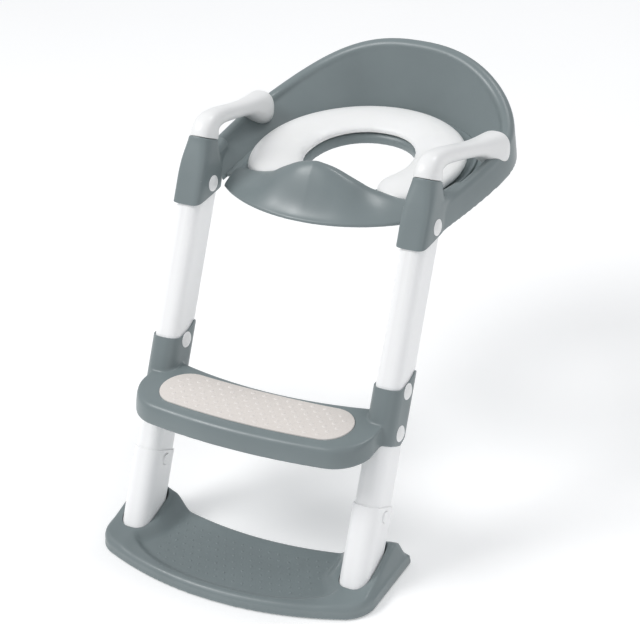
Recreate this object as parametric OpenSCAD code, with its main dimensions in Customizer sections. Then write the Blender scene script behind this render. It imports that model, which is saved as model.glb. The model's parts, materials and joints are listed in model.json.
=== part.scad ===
// Potty training chair: a child's toilet seat with a backrest and arms, carried at
// the front by a one-step ladder with height-adjustable feet.
// The floor is z = 0. The origin is on the floor at the middle of the foot base,
// +X is to the right, +Y runs back towards the toilet tank and +Z is up.

/* [Ladder] */
// Distance between the centres of the two legs
leg_spacing = 320; // [312:2:328]
// Lean of the legs back from vertical, in degrees
leg_lean = 29.5; // [29:0.25:30]
// Place along Y where a leg's centre line meets the floor
leg_foot_y = 25; // [23:0.5:27]
// Width of a leg tube across the ladder
tube_w = 35; // [33:0.5:36]
// Depth of a leg tube
tube_d = 52; // [50:0.5:53]
// Corner radius of a leg tube
tube_r = 14; // [12:0.5:15]
// Wall thickness of the leg tubes
tube_wall = 2.2; // [1.8:0.1:2.4]
// Wall thickness of the outer sleeves
sleeve_wall = 2.1; // [1.9:0.1:2.3]
// Length along the leg from the floor to the top of the outer sleeve
sleeve_top = 113; // [110:1:116]
// Travel of the height adjustment
height_travel = 40; // [30:1:44]

/* [Foot base] */
// Width of the foot base
base_w = 392; // [386:2:400]
// Height of the foot base's tread
base_h = 15; // [14:0.5:18]
// Depth of the foot base at the middle
base_depth = 127; // [120:1:132]
// Radius of the curved front and back edges
base_curve = 460; // [440:10:520]

/* [Step] */
// Height of the step's upper face
step_z = 200.5; // [196:0.5:204]
// Thickness of the step's rim
step_t = 26; // [22:1:28]
// Depth of the step at the middle
step_depth = 102; // [98:1:108]
// Half width of the step's platform
step_half = 168; // [164:1:172]

/* [Seat] */
// Height of the moulding's lower edge, which rests on the toilet seat
seat_z = 390; // [388:1:392]
// Height of the arms' upper edge under the handles
arm_top_z = 424; // [422:1:426]
// Rise of the backrest above the arms
back_rise = 60; // [40:1:75]
// Wall thickness of the moulded shell
shell_wall = 2.6; // [2.4:0.1:3]
// Largest fold of the seat against the ladder, in degrees
fold_max = 60; // [40:5:60]
// Thickness of the cushion
pad_t = 17; // [14:1:20]

/* [Hidden] */

$fn = 48;
SIDES = [-1, 1];
GREY = [0.42, 0.47, 0.48];
WHITE = [0.93, 0.93, 0.92];
STEEL = [0.72, 0.73, 0.75];
MAT = [0.86, 0.83, 0.80];
RUBBER = [0.25, 0.26, 0.27];

half_spacing = leg_spacing / 2;
gap = 0.1;
run_gap = 0.05;
sleeve_grow = gap + sleeve_wall;
sleeve_w = tube_w + 2 * sleeve_grow;
sleeve_d = tube_d + 2 * sleeve_grow;
sleeve_floor = 6;

// Foot base: outline, tread recess, underside ribs, grip strips and saddles
base_front_y = -63;
base_lift = 1.2;
base_skin = 4;
base_dims = [base_w / 2, base_front_y, base_front_y + base_depth, base_curve, base_curve + 30, 40, 8];
tread_depth = 3;
tread_margin = 14;
tread_half = half_spacing - 35;
rib_t = 3;
BASE_RIBS = [-90, -30, 30, 90];
strip_t = 3;
strip_room = 0.2;
// Strips: middle across, middle along, width, depth
STRIPS = [[0, 0, 290, 12], [-178, 20, 12, 52], [178, 20, 12, 52]];
// Saddle levels: place along Y, height, tilt, width, depth, corner radius
SADDLE = [[42, 2.2, 0, 70, 92, 16], [30, 24, 22, 56, 60, 14], [62, 36, 10, 54, 44, 12]];
sleeve_screw_y = leg_foot_y + 8;
sleeve_screw_r = 1.45;
sleeve_foot_t = 5;

// Spring in each lower tube
leaf_t = 0.8;
leaf_w = 12;
leaf_top = 118;
leaf_bend_at = 74;
leaf_x = tube_w / 2 - tube_wall - 1.8;

// Places along the leg, measured from the floor on the leg's centre line
tube_foot = 29;
button_at = 101;
lower_tube_top = 231;
upper_tube_foot = 235;
step_bolt_low = 206.5;
step_bolt_high = 259.5;
step_socket_foot = 195;
step_socket_top = 284;
pivot_at = 464;
seam_at = 520;
plug_foot = 436;

pivot_y = leg_foot_y + pivot_at * sin(leg_lean);
pivot_z = pivot_at * cos(leg_lean);

// Snap buttons
button_r = 7.5;
button_proud = 2;
button_press = 3;
button_ring = 0.45;
lower_button_ring = 0.4;

// Step and its mat; each outline is half width, front y, back y, front radius, back radius,
// front corner, back corner
step_front_y = 21;
step_dims = [step_half, step_front_y, step_front_y + step_depth, 900, 590, 50, 14];
step_skin = 4.5;
STEP_RIBS = [-100, -50, 0, 50, 100];
mouth_r = 50;
mouth_back = -30;
mouth_rise = 25;
mat_dims = [136, step_front_y + 24.2, step_front_y + 94.2, 950, 1400, 34, 30];
step_edge_t = 6;
step_edge_insets = [1.5, 4.5];
step_socket_foot_room = 70;
mat_t = 3;
mat_sink = 1.5;
mat_room = 0.3;

// Barrel nuts, their screws and the caps over them
barrel_r = 4;
screw_r = 2.4;
head_r = 7;
head_t = 1.6;
cap_r = 10.5;
cap_t = 3.4;
cap_skirt_r = 7.2;
step_wall_x = sleeve_w / 2;

// Socket on the backrest shell
socket_w = 41;
socket_d = 57;
// Socket levels: place along the leg, width, depth, corner radius, shift back
SOCKET_FOOT = [405, socket_w, socket_d, 6, 0];
SOCKET_NECK = [492, socket_w - 1.4, socket_d - 8, 8, -3.5];
hinge_wall_x = socket_w / 2;
cavity_side = tube_w / 2 + 0.6;
cavity_r = tube_d / 2 + 0.6;

// Seam between socket and handle, and the handle's peg and screws
seam_shift = -7.7;
SOCKET_SEAM = [seam_at - 0.6, 33, 39, 14, seam_shift];
GRIP_FOOT = [seam_at, 33, 39, 14, seam_shift];
peg_l = 11.5;
peg_r = 8;
grip_screw_r = 1.5;
grip_head_r = 3.8;
grip_screw_at = 491;
grip_head_t = 3;
tongue_x = 180;
tongue_y = 430;
// Stations of the grip: place, half width and half height
HANDLE = [
    [159.5, 281, 467.5, 15, 11.5],
    [160, 298, 470, 14, 10.8],
    [161, 312, 469.5, 13.5, 10.5],
    [164, 344, 461, 13, 9.5],
    [168, 384, 449, 13.5, 9],
    [171, 418, 440.5, 15, 9],
    [172, 436, 436.5, 15.5, 8.5]
];

// Horseshoe wall: half width, depth, middle and front half width of each plan curve
WALL_OUT_LOW = [196, 150, 413, 180];
WALL_OUT_TOP = [190, 170, 413, 179];
WALL_IN_TOP = [173, 153, 411, 162];
WALL_IN_LOW = [147, 147, 386, 144];
wall_power = 2.4;
wall_flare = 1.6;
crest_power = 2.45;
rim_r = 7;
foot_h = 7;
arm_share = 0.35;

// Seat layout along Y
cushion_y = 386;
cushion_rx = 142;
cushion_ry = 141;
hole_rx = 72;
hole_front_y = 283;
hole_back_y = 459;
front_rim_y = 356;
front_rim_rx = 176;
front_rim_ry = 132;
arm_front_y = 269;
flange_t = 3;
skirt_h = 24;
rim_pad_t = 3;
cushion_z = seat_z + flange_t + 1;
apron_half = 133;
apron_back_y = 298;
apron_h = 14;
apron_inset = 16;
splash_rx = 92;
splash_ry = 60;
splash_y = 285;
// Top of the splash guard: place along Y, height over the rim, radius, stretch across
SPLASH_TOP = [276, 50, 10, 1.8];
BASE_SCREWS = [[-122, 330], [122, 330], [-100, 468], [100, 468]];
RIM_PADS = [[-118, 360], [118, 360], [-104, 436], [104, 436]];
rim_pad_r = 11;

// Cushion
pad_lip = 5;
pad_end_x = 107;
pad_end_y = 303;
pad_end_r = 34;
pad_crown = 5;
pad_round = 6;

// ---------------------------------------------------------------- helpers

module on_leg(side) {
    translate([side * half_spacing, leg_foot_y, 0]) rotate([-leg_lean, 0, 0]) children();
}

// Rounded rectangle made of true arcs
module rounded_rect(w, d, r) {
    square([w - 2 * r, d], center = true);
    square([w, d - 2 * r], center = true);
    for (x = [-1, 1], y = [-1, 1])
        translate([x * (w / 2 - r), y * (d / 2 - r)]) circle(r);
}

module tube_section(grow = 0) {
    rounded_rect(tube_w + 2 * grow, tube_d + 2 * grow, tube_r + grow);
}

module tube_bar(from, to, grow = 0) {
    translate([0, 0, from]) linear_extrude(to - from) tube_section(grow);
}

// A round bar across the leg, from x0 to x1 at a place along the leg
module cross_bar(at, r, x0, x1) {
    translate([x0, 0, at]) rotate([0, 90, 0]) cylinder(r = r, h = x1 - x0);
}

function ellipse_points(rx, ry, cy, n = 72) =
    [for (i = [0:n - 1]) [rx * cos(360 * i / n), cy + ry * sin(360 * i / n)]];

function super_points(rx, ry, cy, power, n = 72) =
    [for (i = [0:n - 1]) let (c = cos(360 * i / n), s = sin(360 * i / n))
        [rx * sign(c) * pow(abs(c), 2 / power), cy + ry * sign(s) * pow(abs(s), 2 / power)]];

// ---------------------------------------------------------------- foot base

// Crescent outline: curved front and back, rounded front and back corners.
// dims is [half width, front y, back y, front radius, back radius, front corner, back corner]
function arc_points(cx, cy, r, from, to, n) =
    [for (i = [0:n]) let (a = from + (to - from) * i / n) [cx + r * cos(a), cy + r * sin(a)]];

function crescent_points(dims, inset = 0) = let (
        half = dims[0] - inset, front = dims[1] + inset, back = dims[2] - inset,
        rf = dims[3] - inset, rb = dims[4] + inset,
        cf = max(dims[5] - inset, 1), cb = max(dims[6] - inset, 1),
        af = asin((half - cf) / (rf - cf)), ab = asin((half - cb) / (rb + cb)),
        yf = front + rf - (rf - cf) * cos(af), yb = back + rb - (rb + cb) * cos(ab))
    concat(
        arc_points(0, front + rf, rf, 270 - af, 270 + af, 40),
        arc_points(half - cf, yf, cf, af - 89, 0, 12),
        arc_points(half - cb, yb, cb, 1, 89 + ab, 8),
        arc_points(0, back + rb, rb, 270 + ab, 270 - ab, 40),
        arc_points(-half + cb, yb, cb, 91 - ab, 179, 8),
        arc_points(-half + cf, yf, cf, 180, 269 - af, 12));

module crescent(dims, inset = 0) {
    polygon(crescent_points(dims, inset));
}

module saddle(side) {
    hull() for (level = SADDLE)
        translate([side * half_spacing, level[0], level[1]]) rotate([level[2], 0, 0])
            linear_extrude(1) rounded_rect(level[3], level[4], level[5]);
}

// Strip of the base between the two saddles
module between_saddles(grow = 0) {
    square([2 * (tread_half + grow), 4 * base_depth], center = true);
}

// Everything below the sleeves' floor, to square off parts that follow the legs
module below_sleeve_floor(side, top) {
    translate([side * half_spacing - tube_d, -base_depth, top - 2 * tube_d])
        cube([2 * tube_d, 3 * base_depth, 2 * tube_d]);
}

module foot_base() {
    color(GREY) difference() {
        union() {
            translate([0, 0, base_lift]) linear_extrude(base_h - base_lift)
                crescent(base_dims);
            for (side = SIDES) saddle(side);
        }
        // shallow tread recess
        translate([0, 0, base_h - tread_depth]) linear_extrude(tread_depth + 1) intersection() {
            crescent(base_dims, tread_margin);
            between_saddles(-tread_margin / 2);
        }
        // hollow underside between ribs
        difference() {
            linear_extrude(base_h - tread_depth - base_skin + 0.5) intersection() {
                crescent(base_dims, base_skin);
                between_saddles(2);
            }
            for (x = BASE_RIBS) translate([x - rib_t / 2, -base_depth, 0])
                cube([rib_t, 2 * base_depth, base_h]);
            translate([-STRIPS[0][2] / 2 - base_skin, -STRIPS[0][3] / 2 - rib_t, 0])
                cube([STRIPS[0][2] + 2 * base_skin, STRIPS[0][3] + 2 * rib_t, base_h]);
        }
        for (side = SIDES) {
            difference() {
                on_leg(side) tube_bar(-40, sleeve_top, sleeve_grow + gap + run_gap);
                below_sleeve_floor(side, sleeve_floor);
            }
            translate([side * half_spacing, sleeve_screw_y, 0]) {
                cylinder(r = 2.2, h = sleeve_floor + 1);
                cylinder(r = 4.5, h = 3.4);
            }
        }
        for (spot = STRIPS) translate([spot[0], spot[1], -1])
            linear_extrude(1 + strip_t + strip_room)
                square([spot[2] + 2 * strip_room, spot[3] + 2 * strip_room], center = true);
    }
}

module grip_strips() {
    color(RUBBER) for (spot = STRIPS) translate([spot[0], spot[1], 0])
        linear_extrude(strip_t) square([spot[2], spot[3]], center = true);
}

module sleeve(side) {
    color(WHITE) difference() {
        on_leg(side) difference() {
            tube_bar(-40, sleeve_top, sleeve_grow);
            tube_bar(tube_foot - 3, sleeve_top + 1, gap);
            cross_bar(button_at, button_r + button_ring, -sleeve_w, sleeve_w);
        }
        below_sleeve_floor(side, sleeve_floor + gap);
        translate([side * half_spacing, sleeve_screw_y, 0])
            cylinder(r = sleeve_screw_r + run_gap, h = sleeve_floor + sleeve_foot_t + 3.2);
    }
}

module sleeve_screws() {
    color(STEEL) for (side = SIDES) translate([side * half_spacing, sleeve_screw_y, 0.6]) {
        cylinder(r = 4.2, h = 2.6);
        cylinder(r = sleeve_screw_r, h = sleeve_floor + sleeve_foot_t - 0.5);
    }
}

// ---------------------------------------------------------------- legs

module lower_tube(side) {
    color(WHITE) on_leg(side) difference() {
        tube_bar(tube_foot, lower_tube_top);
        tube_bar(tube_foot - 1, lower_tube_top + 1, -tube_wall);
        for (at = [button_at, button_at - height_travel])
            cross_bar(at, button_r + lower_button_ring, -tube_w, tube_w);
        cross_bar(step_bolt_low, barrel_r + run_gap, -tube_w, tube_w);
    }
}

// Full-depth bar with a round end about the fold pivot
module pivot_end(foot) {
    union() {
        translate([-tube_w, -tube_d, foot]) cube([2 * tube_w, 2 * tube_d, pivot_at - foot]);
        cross_bar(pivot_at, tube_d / 2, -tube_w, tube_w);
    }
}

module upper_tube(side) {
    color(WHITE) on_leg(side) difference() {
        intersection() {
            tube_bar(upper_tube_foot, pivot_at + tube_d);
            pivot_end(upper_tube_foot);
        }
        tube_bar(upper_tube_foot - 1, pivot_at + tube_d, -tube_wall);
        cross_bar(step_bolt_high, barrel_r + run_gap, -tube_w, tube_w);
        cross_bar(pivot_at, barrel_r + run_gap, -tube_w, tube_w);
    }
}

module hinge_plugs() {
    color(WHITE) for (side = SIDES) on_leg(side) difference() {
        intersection() {
            tube_bar(plug_foot, pivot_at + tube_d, -tube_wall - run_gap);
            pivot_end(plug_foot);
        }
        cross_bar(pivot_at, barrel_r + run_gap, -tube_w, tube_w);
    }
}

// Bent leaf spring inside each lower tube, behind the two snap buttons
module button_springs() {
    color(STEEL) for (side = SIDES) on_leg(side) {
        for (x = [-leaf_x, leaf_x - leaf_t])
            translate([x, -leaf_w / 2, leaf_bend_at]) cube([leaf_t, leaf_w, leaf_top - leaf_bend_at]);
        translate([0, leaf_w / 2, leaf_bend_at]) rotate([90, 0, 0]) difference() {
            cylinder(r = leaf_x, h = leaf_w);
            translate([0, 0, -1]) cylinder(r = leaf_x - leaf_t, h = leaf_w + 2);
            translate([-leaf_x - 1, 0, -1]) cube([2 * leaf_x + 2, leaf_x + 1, leaf_w + 2]);
        }
    }
}

// One snap button; it stands proud of the sleeve and presses in towards the tube
module snap_button(side, face) {
    inner = tube_w / 2 + gap;
    color(WHITE) on_leg(side) {
        if (face > 0) cross_bar(button_at, button_r, inner, sleeve_w / 2 + button_proud);
        else cross_bar(button_at, button_r, -sleeve_w / 2 - button_proud, -inner);
    }
}

// ---------------------------------------------------------------- bolts and caps

module barrel_nut(at, wall_x) {
    difference() {
        union() {
            cross_bar(at, barrel_r, -wall_x, wall_x - 0.2);
            cross_bar(at, head_r, -wall_x - head_t, -wall_x);
        }
        cross_bar(at, screw_r + run_gap, -wall_x + 2, wall_x);
    }
}

module barrel_screw(at, wall_x) {
    cross_bar(at, screw_r, -wall_x / 2, wall_x);
    cross_bar(at, head_r, wall_x, wall_x + head_t);
}

// Domed cap over a bolt head: a true ring with a spherical face
module cap(at, wall_x, face) {
    dome_r = (cap_r * cap_r + cap_t * cap_t) / (2 * cap_t);
    translate([face * wall_x, 0, at]) rotate([0, face * 90, 0]) difference() {
        intersection() {
            cylinder(r = cap_r, h = cap_t);
            translate([0, 0, cap_t - dome_r + 0.6]) sphere(dome_r);
        }
        translate([0, 0, -1]) cylinder(r = cap_skirt_r, h = 1 + head_t + 0.1);
    }
}

module step_barrel_nuts() {
    color(STEEL) for (side = SIDES, at = [step_bolt_low, step_bolt_high])
        on_leg(side) barrel_nut(at, step_wall_x);
}

module step_screws() {
    color(STEEL) for (side = SIDES, at = [step_bolt_low, step_bolt_high])
        on_leg(side) barrel_screw(at, step_wall_x);
}

module step_caps() {
    color(WHITE) for (side = SIDES, at = [step_bolt_low, step_bolt_high], face = [-1, 1])
        on_leg(side) cap(at, step_wall_x, face);
}

module hinge_barrel_nuts() {
    color(STEEL) for (side = SIDES) on_leg(side) barrel_nut(pivot_at, hinge_wall_x);
}

module hinge_screws() {
    color(STEEL) for (side = SIDES) on_leg(side) barrel_screw(pivot_at, hinge_wall_x);
}

module hinge_caps() {
    color(WHITE) for (side = SIDES, face = [-1, 1])
        on_leg(side) cap(pivot_at, hinge_wall_x, face);
}

// ---------------------------------------------------------------- step

module step_outline(inset = 0) {
    crescent(step_dims, inset);
}

// The mat is a crescent whose ends are round
module mat_outline(inset = 0) {
    crescent(mat_dims, inset);
}

module step_hollow() {
    difference() {
        translate([0, 0, step_z - step_t - 1]) linear_extrude(step_t - step_edge_t)
            step_outline(step_skin);
        for (x = STEP_RIBS) translate([x - rib_t / 2, 0, step_z - 2 * step_t])
            cube([rib_t, 2 * step_depth, 2 * step_t]);
        for (side = SIDES) on_leg(side)
            tube_bar(step_socket_foot - step_socket_foot_room, step_socket_top, sleeve_grow);
        for (side = SIDES) step_bolt_room(side, step_skin / 2);
    }
}

// Pockets that leave the bolt heads and their caps free beside each socket
module step_bolt_room(side, grow = 0) {
    on_leg(side) for (face = [-1, 1]) {
        near = face * (sleeve_w / 2);
        far = face * (sleeve_w / 2 + cap_t + 1 + grow);
        cross_bar(step_bolt_low, cap_r + 0.5 + grow, min(near, far), max(near, far));
    }
}

module step_platform() {
    color(GREY) difference() {
        union() {
            translate([0, 0, step_z - step_t]) linear_extrude(step_t - step_edge_t) step_outline();
            for (i = [0, 1]) translate([0, 0, step_z - step_edge_t + i * step_edge_t / 2 - 0.01])
                linear_extrude(step_edge_t / 2 + 0.01) step_outline(step_edge_insets[i]);
            for (side = SIDES) on_leg(side) tube_bar(step_socket_foot, step_socket_top, sleeve_grow);
        }
        step_hollow();
        translate([0, 0, step_z - mat_sink]) linear_extrude(10) mat_outline(-mat_room);
        for (side = SIDES) step_bolt_room(side);
        for (side = SIDES) on_leg(side) {
            tube_bar(100, lower_tube_top + 0.1, gap);
            tube_bar(upper_tube_foot - 0.1, 320, gap);
            tube_bar(lower_tube_top - 1, upper_tube_foot + 1, -tube_wall - 2);
            for (at = [step_bolt_low, step_bolt_high])
                cross_bar(at, barrel_r + run_gap, -tube_w, tube_w);
            // mouth that is low at the front and climbs to the back
            translate([-tube_w, mouth_back, step_socket_top + mouth_rise]) rotate([0, 90, 0])
                cylinder(r = mouth_r, h = 2 * tube_w, $fn = 96);
        }
    }
}

module step_mat() {
    color(MAT) translate([0, 0, step_z - mat_sink]) linear_extrude(mat_t) mat_outline();
}

// ---------------------------------------------------------------- seat

// Plan curve of the horseshoe wall. t runs from 0 at the socket to 1 at the back.
function wall_plan(c, t) =
    t < arm_share
    ? let (k = t / arm_share)
        [c[0] - (c[0] - c[3]) * pow(1 - k, wall_flare), arm_front_y + (c[2] - arm_front_y) * k]
    : let (a = 90 * (t - arm_share) / (1 - arm_share))
        [c[0] * pow(cos(a), 2 / wall_power), c[2] + c[1] * pow(sin(a), 2 / wall_power)];

function wall_top(t) =
    t < arm_share ? arm_top_z
    : arm_top_z + back_rise * pow(sin(90 * (t - arm_share) / (1 - arm_share)), crest_power);

// Point d millimetres from p towards q
function step_to(p, q, d) = p + (q - p) * d / norm(q - p);
function at_z(p, z) = [p[0], p[1], z];

// One face of the wall's section at t, from the outside edge over the rim to the
// inside edge. depth is 0 for the outer face and the wall thickness for the inner one.
function wall_line(t, depth) = let (
        ob = wall_plan(WALL_OUT_LOW, t),
        ot = wall_plan(WALL_OUT_TOP, t),
        it = wall_plan(WALL_IN_TOP, t),
        ib = wall_plan(WALL_IN_LOW, t),
        om = ob * 0.4 + ot * 0.6,
        im = it * 0.6 + ib * 0.4,
        top = wall_top(t),
        rise = top - seat_z,
        knee = 0.3 * rim_r + 0.7 * depth)
    [
        at_z(step_to(ob, ib, depth), seat_z),
        at_z(step_to(om, im, depth), seat_z + rise * 0.5),
        at_z(step_to(ot, it, depth), top - rim_r),
        at_z(step_to(ot, it, knee), top - knee),
        at_z(step_to(ot, it, rim_r), top - depth),
        at_z(step_to(it, ot, rim_r), top - depth),
        at_z(step_to(it, ot, knee), top - knee),
        at_z(step_to(it, ot, depth), top - rim_r),
        at_z(step_to(im, om, depth), seat_z + rise * 0.45),
        at_z(step_to(ib, ob, depth), seat_z + foot_h),
        at_z(step_to(ib, ob, depth), seat_z)
    ];

module horseshoe_wall() {
    n = 26;
    stations = concat([for (i = [0:n]) [-1, i / n]], [for (i = [n - 1:-1:0]) [1, i / n]]);
    outer = [for (s = stations) [for (p = wall_line(s[1], 0)) [s[0] * p[0], p[1], p[2]]]];
    inner = [for (s = stations) [for (p = wall_line(s[1], shell_wall)) [s[0] * p[0], p[1], p[2]]]];
    m = len(outer[0]);
    loop = 2 * m;
    last = len(stations) - 1;
    points = [for (i = [0:last]) each concat(outer[i], [for (j = [m - 1:-1:0]) inner[i][j]])];
    sides = [for (i = [0:last - 1], j = [0:loop - 1])
        let (a = i * loop + j, b = i * loop + (j + 1) % loop, c = a + loop, d = b + loop)
        each [[a, d, b], [a, c, d]]];
    ends = [for (j = [0:m - 2]) let (k = loop - 1 - j, e = last * loop)
        each [[j, j + 1, k - 1], [j, k - 1, k], [e + j, e + k - 1, e + j + 1], [e + j, e + k, e + k - 1]]];
    polyhedron(points, concat(sides, ends), convexity = 6);
}

// level is place along the leg, width, depth, corner radius, shift back
module socket_slab(level) {
    translate([0, level[4], level[0]]) linear_extrude(0.6)
        rounded_rect(level[1], level[2], level[3], $fn = 32);
}

module socket_body(side) {
    on_leg(side) {
        hull() {
            socket_slab(SOCKET_FOOT);
            socket_slab(SOCKET_NECK);
        }
        hull() {
            socket_slab(SOCKET_NECK);
            socket_slab(SOCKET_SEAM);
        }
    }
}

// Room for the leg from standing to fully folded
module leg_sweep(side) {
    reach = 120;
    fold_dir = 90 + leg_lean - fold_max;
    stand_dir = 90 + leg_lean;
    function along(a) = [cos(a), -sin(a)];
    function square_to(a) = [sin(a), cos(a)];
    front = [for (d = [0, reach]) along(stand_dir) * d - square_to(stand_dir) * cavity_r];
    rear = [for (d = [reach, 0]) along(fold_dir) * d + square_to(fold_dir) * cavity_r];
    translate([side * half_spacing - cavity_side, pivot_y, pivot_z]) rotate([90, 0, 90]) {
        cylinder(r = cavity_r, h = 2 * cavity_side, $fn = 96);
        linear_extrude(2 * cavity_side) polygon([[0, 0], front[0], front[1], rear[0], rear[1]]);
    }
}

// Holes for one handle's peg and its two screws
module handle_fixings(side) {
    bore_foot = seam_at - 40;
    on_leg(side) translate([0, seam_shift, 0]) {
        translate([0, 0, seam_at - peg_l - 0.5]) cylinder(r = peg_r + run_gap, h = 20);
        translate([0, 0, bore_foot]) cylinder(r = grip_screw_r + 0.5, h = 40);
        translate([0, 0, bore_foot])
            cylinder(r = grip_head_r + 0.2, h = grip_screw_at + grip_head_t + 0.2 - bore_foot);
    }
    translate([side * tongue_x, tongue_y, arm_top_z - shell_wall]) {
        translate([0, 0, -1]) cylinder(r = grip_screw_r + run_gap, h = shell_wall + 3);
        translate([0, 0, -grip_head_t - 1]) cylinder(r = grip_head_r, h = grip_head_t + 1);
    }
}

module backrest_shell() {
    color(GREY) difference() {
        union() {
            horseshoe_wall();
            for (side = SIDES) socket_body(side);
        }
        for (side = SIDES) {
            leg_sweep(side);
            on_leg(side) cross_bar(pivot_at, barrel_r + run_gap, -socket_w, socket_w);
            handle_fixings(side);
        }
        translate([-base_w, 0, seat_z - 200]) cube([2 * base_w, 2 * base_w, 200]);
    }
}

// Seat base: flange under the cushion, front apron with a splash guard, and a skirt
module seat_hole(grow) {
    mid = (hole_front_y + hole_back_y) / 2;
    polygon(super_points(hole_rx + grow, (hole_back_y - hole_front_y) / 2 + grow, mid, 2.3));
}

// Half plane behind (or, with front = true, in front of) a line across the seat
module seat_part(y, front = false) {
    translate([-base_w, front ? y - base_w : y]) square([2 * base_w, base_w]);
}

// Point on the edge of the flange, just inside the foot of the wall
function shelf_point(side, t, inset) = let (p = wall_plan(WALL_IN_LOW, t))
    [side * max(p[0] - 0.3 - inset, 0), p[1] - 0.3 - inset];

module seat_plan(inset = 0) {
    intersection() {
        polygon(ellipse_points(front_rim_rx - inset, front_rim_ry - inset, front_rim_y));
        translate([inset - apron_half, 0]) square([2 * (apron_half - inset), front_rim_y]);
    }
    intersection() {
        polygon(concat(
            [for (i = [0:24]) shelf_point(-1, i / 24, inset)],
            [for (i = [23:-1:0]) shelf_point(1, i / 24, inset)]));
        seat_part(apron_back_y);
    }
}

module apron() {
    hull() {
        translate([0, 0, seat_z]) linear_extrude(4) intersection() {
            seat_plan();
            seat_part(apron_back_y + 2, true);
        }
        translate([0, 0, seat_z + apron_h]) linear_extrude(1) intersection() {
            seat_plan(apron_inset);
            seat_part(apron_back_y - 4, true);
        }
    }
    hull() {
        translate([0, 0, seat_z + 2]) linear_extrude(1) intersection() {
            polygon(ellipse_points(splash_rx, splash_ry, splash_y));
            seat_part(apron_back_y - 2, true);
        }
        translate([0, SPLASH_TOP[0], seat_z + SPLASH_TOP[1]]) scale([SPLASH_TOP[3], 1, 1])
            sphere(SPLASH_TOP[2], $fn = 32);
    }
}

module seat_base() {
    color(GREY) difference() {
        union() {
            translate([0, 0, seat_z]) linear_extrude(flange_t) seat_plan();
            apron();
            translate([0, 0, seat_z - skirt_h]) linear_extrude(skirt_h + 1) seat_hole(3);
        }
        translate([0, 0, seat_z - 2 * skirt_h]) linear_extrude(5 * skirt_h) intersection() {
            seat_hole(0);
            seat_part(apron_back_y - 2);
        }
        translate([0, 0, seat_z - 2 * skirt_h]) linear_extrude(2 * skirt_h + 6) seat_hole(0);
        translate([0, 0, cushion_z - 0.6]) linear_extrude(2 * skirt_h) cushion_plan(-1);
        for (spot = BASE_SCREWS) translate([spot[0], spot[1], seat_z - 1])
            cylinder(r = 1.6, h = flange_t + 2);
    }
}

module seat_base_screws() {
    color(STEEL) for (spot = BASE_SCREWS) translate([spot[0], spot[1], seat_z - 2]) {
        cylinder(r = 3.2, h = 2);
        cylinder(r = 1.5, h = 2 + flange_t + 0.5);
    }
}

module rim_pads() {
    color(RUBBER) for (spot = RIM_PADS) translate([spot[0], spot[1], seat_z - rim_pad_t])
        cylinder(r = rim_pad_r, h = rim_pad_t);
}

// ---------------------------------------------------------------- handles

module handle_station(side, k) {
    s = HANDLE[k];
    translate([side * s[0], s[1], s[2]]) scale([s[3], s[4], s[4]]) sphere(1, $fn = 20);
}

module handle(side) {
    color(WHITE) difference() {
        union() {
            hull() {
                on_leg(side) socket_slab(GRIP_FOOT);
                handle_station(side, 0);
                handle_station(side, 1);
            }
            for (k = [1:len(HANDLE) - 2]) hull() {
                handle_station(side, k);
                handle_station(side, k + 1);
            }
            on_leg(side) translate([0, seam_shift, seam_at - peg_l]) cylinder(r = peg_r, h = peg_l + 2);
        }
        on_leg(side) translate([0, seam_shift, seam_at - peg_l - 1])
            cylinder(r = grip_screw_r + run_gap, h = peg_l + 6);
        translate([side * tongue_x, tongue_y, arm_top_z]) cylinder(r = grip_screw_r + run_gap, h = 11);
        // the tongue lies flat on the arm
        translate([side * tongue_x - 60, tongue_y - 50, arm_top_z - 40]) cube([120, 120, 40.8]);
    }
}

module handle_screws() {
    color(STEEL) for (side = SIDES) {
        on_leg(side) translate([0, seam_shift, grip_screw_at]) {
            cylinder(r = grip_head_r, h = grip_head_t);
            cylinder(r = grip_screw_r, h = seam_at + 4 - grip_screw_at);
        }
        translate([side * tongue_x, tongue_y, arm_top_z - shell_wall - grip_head_t]) {
            cylinder(r = grip_head_r - 0.4, h = grip_head_t);
            cylinder(r = grip_screw_r, h = shell_wall + grip_head_t + 10);
        }
    }
}

// ---------------------------------------------------------------- cushion

// Horseshoe outline of the cushion, open at the front between two round ends
module cushion_plan(inset = 0) {
    difference() {
        polygon(ellipse_points(cushion_rx - inset, cushion_ry - inset, cushion_y));
        seat_hole(inset - pad_lip);
        seat_part(pad_end_y, true);
    }
    intersection() {
        for (side = SIDES) translate([side * pad_end_x, pad_end_y]) circle(pad_end_r - inset);
        polygon(ellipse_points(cushion_rx - inset, cushion_ry - inset, cushion_y));
    }
}

module seat_cushion() {
    color(WHITE) {
        translate([0, 0, cushion_z]) linear_extrude(pad_t - pad_crown) cushion_plan();
        translate([0, 0, cushion_z + pad_t - pad_crown - 0.01]) linear_extrude(pad_crown + 0.01)
            cushion_plan(pad_round);
    }
}

foot_base();
grip_strips();
sleeve(-1);  // left_sleeve
sleeve(1);  // right_sleeve
sleeve_screws();
lower_tube(-1);  // left_lower_tube
lower_tube(1);  // right_lower_tube
upper_tube(-1);  // left_upper_tube
upper_tube(1);  // right_upper_tube
step_platform();
step_mat();
step_barrel_nuts();
step_screws();
step_caps();
button_springs();
hinge_plugs();
snap_button(-1, 1);  // button_left_inner
snap_button(-1, -1);  // button_left_outer
snap_button(1, -1);  // button_right_inner
snap_button(1, 1);  // button_right_outer
backrest_shell();
seat_base();
seat_base_screws();
handle(-1);  // left_handle
handle(1);  // right_handle
handle_screws();
hinge_barrel_nuts();
hinge_screws();
hinge_caps();
rim_pads();
seat_cushion();
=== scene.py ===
"""Potty training chair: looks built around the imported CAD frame. Lengths in code are millimetres."""
import json
import math

import bmesh
import bpy
import numpy as np
from mathutils import Matrix, Vector


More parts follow.
